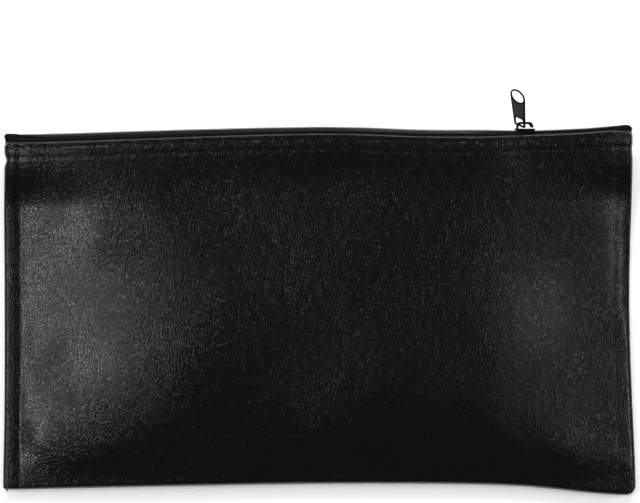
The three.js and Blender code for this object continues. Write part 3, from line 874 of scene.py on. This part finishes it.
def pull_rims():
    """Rolled rims round the pull's edge, its eye and its slot; the slot's lower run is the cross-bar."""
    paths = []
    for edge in pull_outlines(RIM_R):
        closed = edge + edge[:2]
        paths.append([to_pull_place(u, v, 0) for u, v in closed])
    return many_tubes("pull_rims", paths, RIM_R + RIM_SWELL, 10)


# ---- Materials
# Scales are noise or cell counts per metre; bump distances are metres.
GRAIN_SCALE = 860.0  # pebbles of about 1 mm
GRAIN_VALLEY = 0.22  # share of a pebble taken up by the valley round it
GRAIN_WARP = 0.0012  # metres by which the pebbles are pushed out of line
PUCKER_DEPTH = 3.0  # creases are this many times deeper, and once more, where the vinyl puckers


def new_material(name):
    """A material with its nodes, its links and its shader."""
    material = bpy.data.materials.new(name)
    material.use_nodes = True
    nodes = material.node_tree.nodes
    shader = nodes["Principled BSDF"]
    return material, nodes, material.node_tree.links, shader


def add_node(nodes, kind, **values):
    """A node whose inputs, or else whose settings, have these values."""
    node = nodes.new(kind)
    for key, value in values.items():
        if key in node.inputs:
            node.inputs[key].default_value = value
        else:
            setattr(node, key, value)
    return node


def ramp(nodes, low, high, dark, light):
    """A colour ramp from dark at the low value to light at the high one."""
    node = nodes.new("ShaderNodeValToRGB")
    node.color_ramp.elements[0].position = low
    node.color_ramp.elements[0].color = (*dark, 1)
    node.color_ramp.elements[1].position = high
    node.color_ramp.elements[1].color = (*light, 1)
    return node


def bump_node(nodes, links, height, strength, distance, under=None):
    """Relief from a height, laid over another relief; returns the normal."""
    relief = add_node(nodes, "ShaderNodeBump", Strength=strength, Distance=distance)
    links.new(height, relief.inputs["Height"])
    if under:
        links.new(under, relief.inputs["Normal"])
    return relief.outputs["Normal"]


def pebble_grain(nodes, links, place):
    """1 on the pebbles of the leatherette's grain and 0 in the valleys between them."""
    warp = add_node(nodes, "ShaderNodeTexNoise", Scale=260.0, Detail=3.0)
    links.new(place, warp.inputs["Vector"])
    shift = add_node(nodes, "ShaderNodeVectorMath", operation="SCALE")
    shift.inputs["Scale"].default_value = GRAIN_WARP
    links.new(warp.outputs["Color"], shift.inputs[0])
    moved = add_node(nodes, "ShaderNodeVectorMath", operation="ADD")
    links.new(place, moved.inputs[0])
    links.new(shift.outputs["Vector"], moved.inputs[1])
    cells = add_node(nodes, "ShaderNodeTexVoronoi", feature="DISTANCE_TO_EDGE", Scale=GRAIN_SCALE)
    links.new(moved.outputs["Vector"], cells.inputs["Vector"])
    grain = ramp(nodes, 0.0, GRAIN_VALLEY, (0.0,) * 3, (1.0,) * 3)
    grain.color_ramp.interpolation = "EASE"
    links.new(cells.outputs["Distance"], grain.inputs["Fac"])
    return grain.outputs["Color"]


def puckered_creases(nodes, links, place):
    """Fine creases, deeper where the needle draws the vinyl in and along the turned hem."""
    stretched = add_node(nodes, "ShaderNodeMapping")
    stretched.inputs["Scale"].default_value = (1.0, 0.3, 1.0)
    links.new(place, stretched.inputs["Vector"])
    creases = add_node(nodes, "ShaderNodeTexNoise", Scale=500.0, Detail=1.0, Roughness=0.5)
    links.new(stretched.outputs["Vector"], creases.inputs["Vector"])
    pucker = add_node(nodes, "ShaderNodeAttribute", attribute_name="pucker")
    depth = add_node(nodes, "ShaderNodeMath", operation="MULTIPLY_ADD")
    depth.inputs[1].default_value = PUCKER_DEPTH
    depth.inputs[2].default_value = 1.0
    links.new(pucker.outputs["Fac"], depth.inputs[0])
    puckered = add_node(nodes, "ShaderNodeMath", operation="MULTIPLY")
    links.new(creases.outputs["Fac"], puckered.inputs[0])
    links.new(depth.outputs["Value"], puckered.inputs[1])
    return puckered.outputs["Value"]


def worn_roughness(nodes, links, place, grain):
    """Broad patches of more and less gloss; the valleys are rougher than the worn pebbles."""
    broad = add_node(nodes, "ShaderNodeTexNoise", Scale=26.0, Detail=3.0)
    links.new(place, broad.inputs["Vector"])
    gloss = ramp(nodes, 0.3, 0.7, (0.15,) * 3, (0.2,) * 3)
    links.new(broad.outputs["Fac"], gloss.inputs["Fac"])
    valley = ramp(nodes, 0.0, 1.0, (0.08,) * 3, (0.0,) * 3)
    links.new(grain, valley.inputs["Fac"])
    worn = add_node(nodes, "ShaderNodeMath", operation="ADD", use_clamp=True)
    links.new(gloss.outputs["Color"], worn.inputs[0])
    links.new(valley.outputs["Color"], worn.inputs[1])
    return worn.outputs["Value"]


def vinyl_material():
    """Black leatherette: pebbled grain of about 1 mm, pulled into fine creases, with painted shade
    darkening the valleys between the pebbles.
    """
    material, nodes, links, shader = new_material("black_vinyl")
    place = add_node(nodes, "ShaderNodeTexCoord").outputs["Object"]
    grain = pebble_grain(nodes, links, place)
    fine = add_node(nodes, "ShaderNodeTexNoise", Scale=1900.0, Detail=1.0, Roughness=0.5)
    links.new(place, fine.inputs["Vector"])
    relief = bump_node(nodes, links, puckered_creases(nodes, links, place), 0.4, 0.00007)
    relief = bump_node(nodes, links, grain, 0.65, 0.00007, relief)
    relief = bump_node(nodes, links, fine.outputs["Fac"], 0.2, 0.00002, relief)
    links.new(relief, shader.inputs["Normal"])
    # Painted shade: the base colour is darker in the valleys between the pebbles, standing in for the shade
    # that falls there.
    colour = ramp(nodes, 0.0, 1.0, (0.0006, 0.0006, 0.0008), (0.002, 0.002, 0.0023))
    links.new(grain, colour.inputs["Fac"])
    links.new(colour.outputs["Color"], shader.inputs["Base Color"])
    links.new(worn_roughness(nodes, links, place, grain), shader.inputs["Roughness"])
    shader.inputs["Specular IOR Level"].default_value = 0.5
    return material


def thread_like(name, tone, scale, stretch, roughness, depth):
    """Woven or twisted yarn: ribs of the given scale, with painted shade making it darker in the grooves
    between them.
    """
    material, nodes, links, shader = new_material(name)
    place = add_node(nodes, "ShaderNodeTexCoord").outputs["Object"]
    sized = add_node(nodes, "ShaderNodeMapping")
    sized.inputs["Scale"].default_value = stretch
    links.new(place, sized.inputs["Vector"])
    ribs = add_node(nodes, "ShaderNodeTexWave", Scale=scale, Distortion=1.2, Detail=2.0)
    links.new(sized.outputs["Vector"], ribs.inputs["Vector"])
    fuzz = add_node(nodes, "ShaderNodeTexNoise", Scale=2600.0, Detail=3.0)
    links.new(place, fuzz.inputs["Vector"])
    # Painted shade: the colour falls to half in the grooves between the ribs, standing in for the shade
    # that falls there.
    colour = ramp(nodes, 0.1, 0.9, tuple(v * 0.5 for v in tone), tone)
    links.new(ribs.outputs["Fac"], colour.inputs["Fac"])
    links.new(colour.outputs["Color"], shader.inputs["Base Color"])
    relief = bump_node(nodes, links, ribs.outputs["Fac"], 0.6, depth)
    relief = bump_node(nodes, links, fuzz.outputs["Fac"], 0.4, depth / 2, relief)
    links.new(relief, shader.inputs["Normal"])
    shader.inputs["Roughness"].default_value = roughness
    shader.inputs["Specular IOR Level"].default_value = 0.2
    return material


def moulded(name, tone, roughness, metallic, speck_scale, ior=1.5):
    """Nylon or lacquered metal: an even colour with faint cloudiness and fine marks."""
    material, nodes, links, shader = new_material(name)
    place = add_node(nodes, "ShaderNodeTexCoord").outputs["Object"]
    cloud = add_node(nodes, "ShaderNodeTexNoise", Scale=speck_scale, Detail=4.0)
    links.new(place, cloud.inputs["Vector"])
    colour = ramp(nodes, 0.3, 0.75, tuple(v * 0.75 for v in tone), tuple(v * 1.2 for v in tone))
    links.new(cloud.outputs["Fac"], colour.inputs["Fac"])
    links.new(colour.outputs["Color"], shader.inputs["Base Color"])
    gloss = ramp(nodes, 0.3, 0.7, (roughness * 0.85,) * 3, (roughness * 1.2,) * 3)
    links.new(cloud.outputs["Fac"], gloss.inputs["Fac"])
    links.new(gloss.outputs["Color"], shader.inputs["Roughness"])
    links.new(bump_node(nodes, links, cloud.outputs["Fac"], 0.25, 0.00003), shader.inputs["Normal"])
    shader.inputs["Metallic"].default_value = metallic
    shader.inputs["IOR"].default_value = ior
    return material


def floor_material():
    """Matt white paper, very slightly cloudy."""
    material, nodes, links, shader = new_material("pale_floor")
    place = add_node(nodes, "ShaderNodeTexCoord").outputs["Object"]
    cloud = add_node(nodes, "ShaderNodeTexNoise", Scale=3.0, Detail=2.0)
    links.new(place, cloud.inputs["Vector"])
    colour = ramp(nodes, 0.3, 0.7, (0.9, 0.9, 0.9), (0.92, 0.92, 0.92))
    links.new(cloud.outputs["Fac"], colour.inputs["Fac"])
    links.new(colour.outputs["Color"], shader.inputs["Base Color"])
    shader.inputs["Roughness"].default_value = 0.9
    return material


# ---- Build
def finish_piece(piece, body, material, slot, *nodes):
    """Gives a piece its material and its body, and hides the CAD nodes that it replaces; the slot argument
    is not used.
    """
    piece.data.materials.clear()
    piece.data.materials.append(material)
    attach(piece, body)
    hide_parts(*nodes)


vinyl = vinyl_material()
weave = thread_like("tape_weave", (0.004, 0.004, 0.0045), 330.0, (1.0, 0.5, 0.5), 0.8, 0.00012)
yarn = thread_like("sewing_yarn", (0.006, 0.006, 0.0065), 700.0, (1.0, 0.8, 0.8), 0.6, 0.00006)
nylon = moulded("coil_monofilament", (0.002, 0.002, 0.0023), 0.2, 0.0, 900.0)
lacquer = moulded("dark_lacquer", (0.002, 0.002, 0.0022), 0.3, 0.0, 700.0, 1.3)
rim_black = moulded("rim_lacquer", (0.001, 0.001, 0.0012), 0.45, 0.0, 700.0, 1.12)
satin = moulded("satin_lacquer", (0.07, 0.07, 0.072), 0.5, 0.0, 900.0)

shell, outer_faces = vinyl_shell()
finish_piece(shell, "bag", vinyl, "vinyl", "front_panel", "back_panel")
for side, word in SIDE_NAMES.items():
    finish_piece(tape_piece(side), "bag", weave, "zipper_tape", f"{word}_tape")
    finish_piece(coil_piece(side), "bag", nylon, "coil_nylon", f"{word}_coil")
    finish_piece(cord_piece(side), "bag", yarn, "sewing_thread", f"{word}_coil_cord")
    finish_piece(coil_thread_piece(side), "bag", yarn, "sewing_thread", f"{word}_coil_thread")
    stitches = mouth_stitches(side, outer_faces[side])
    finish_piece(stitches, "bag", yarn, "sewing_thread", f"{word}_mouth_stitch")
for side_x, word in ((-1, "left"), (1, "right")):
    finish_piece(tail_piece(side_x, word), "bag", weave, "zipper_tape", f"{word}_tape_tail")
    finish_piece(seam_stitches(word), "bag", yarn, "sewing_thread", f"{word}_seam_thread")
slider = rounded_copy("slider_body", "cast_slider", CAST_VOXEL, CAST_SMOOTHING)
finish_piece(slider, "slider", lacquer, "lacquered_zinc", "slider_body")
finish_piece(pull_face(), "pull", satin, "lacquered_zinc", "pull_tab")
finish_piece(pull_rims(), "pull", rim_black, "lacquered_zinc", "pull_tab")


# ---- Stage, light and camera
FLOOR_HALF = 3000  # millimetres, as make_mesh takes them
# Each light: name, place, where it points, width, height (metres) and power (watts).
SOFTBOXES = [
    ("left_softbox", (-0.72, 0.1, 1.2), (-0.05, 0.02, 0), 0.9, 0.2, 4.1),
    ("right_softbox", (0.84, 0.1, 1.1), (0.05, 0.0, 0), 0.8, 0.18, 2.3),
    ("top_softbox", (0.0, 1.7, 1.2), (0, 0, 0), 1.8, 0.3, 20),
]
# These only light the floor, as background lights do.
FLOOR_LIGHTS = [
    ("floor_light_top", (0.0, 1.8, 0.95), (0, 0, 0), 1.8, 0.5, 36),
    ("floor_light_left", (-1.9, 0.0, 0.7), (0, 0, 0), 1.6, 0.5, 40),
    ("floor_light_right", (1.9, 0.0, 0.7), (0, 0, 0), 1.6, 0.5, 40),
]
ROOM_STRENGTH = 0.1
SENSOR_WIDTH = 36  # millimetres
SEEN_WIDTH = 0.2834  # metres of the resting plane across the picture
CAMERA_HEIGHT = 1.6
CAMERA_OVER = (0.0007, 0.0268)  # the camera looks straight down over this place


def area_light(name, at, target, width, height, power, only=None):
    """A soft box in metres and watts; with only, it lights nothing but that collection."""
    data = bpy.data.lights.new(name, "AREA")
    data.shape = "RECTANGLE"
    data.size = width
    data.size_y = height
    data.energy = power
    light = bpy.data.objects.new(name, data)
    light.location = at
    light.rotation_euler = (Vector(target) - Vector(at)).to_track_quat("-Z", "Y").to_euler()
    if only:
        light.light_linking.receiver_collection = only
    bpy.context.scene.collection.objects.link(light)


corners = [(-FLOOR_HALF, -FLOOR_HALF, 0), (FLOOR_HALF, -FLOOR_HALF, 0),
           (FLOOR_HALF, FLOOR_HALF, 0), (-FLOOR_HALF, FLOOR_HALF, 0)]
floor = make_mesh("floor", corners, [(0, 1, 2, 3)])
floor.data.materials.append(floor_material())

for light in SOFTBOXES:
    area_light(*light)
floor_only = bpy.data.collections.new("floor_only")
floor_only.objects.link(floor)
for light in FLOOR_LIGHTS:
    area_light(*light, only=floor_only)

world = bpy.data.worlds.new("room")
world.use_nodes = True
world.node_tree.nodes["Background"].inputs["Color"].default_value = (1, 1, 1, 1)
world.node_tree.nodes["Background"].inputs["Strength"].default_value = ROOM_STRENGTH
bpy.context.scene.world = world
bpy.context.scene.view_settings.view_transform = "Standard"

camera_data = bpy.data.cameras.new("camera")
camera_data.sensor_width = SENSOR_WIDTH
camera_data.lens = SENSOR_WIDTH * CAMERA_HEIGHT / SEEN_WIDTH
camera = bpy.data.objects.new("camera", camera_data)
camera.location = (*CAMERA_OVER, CAMERA_HEIGHT)
bpy.context.scene.collection.objects.link(camera)
bpy.context.scene.camera = camera
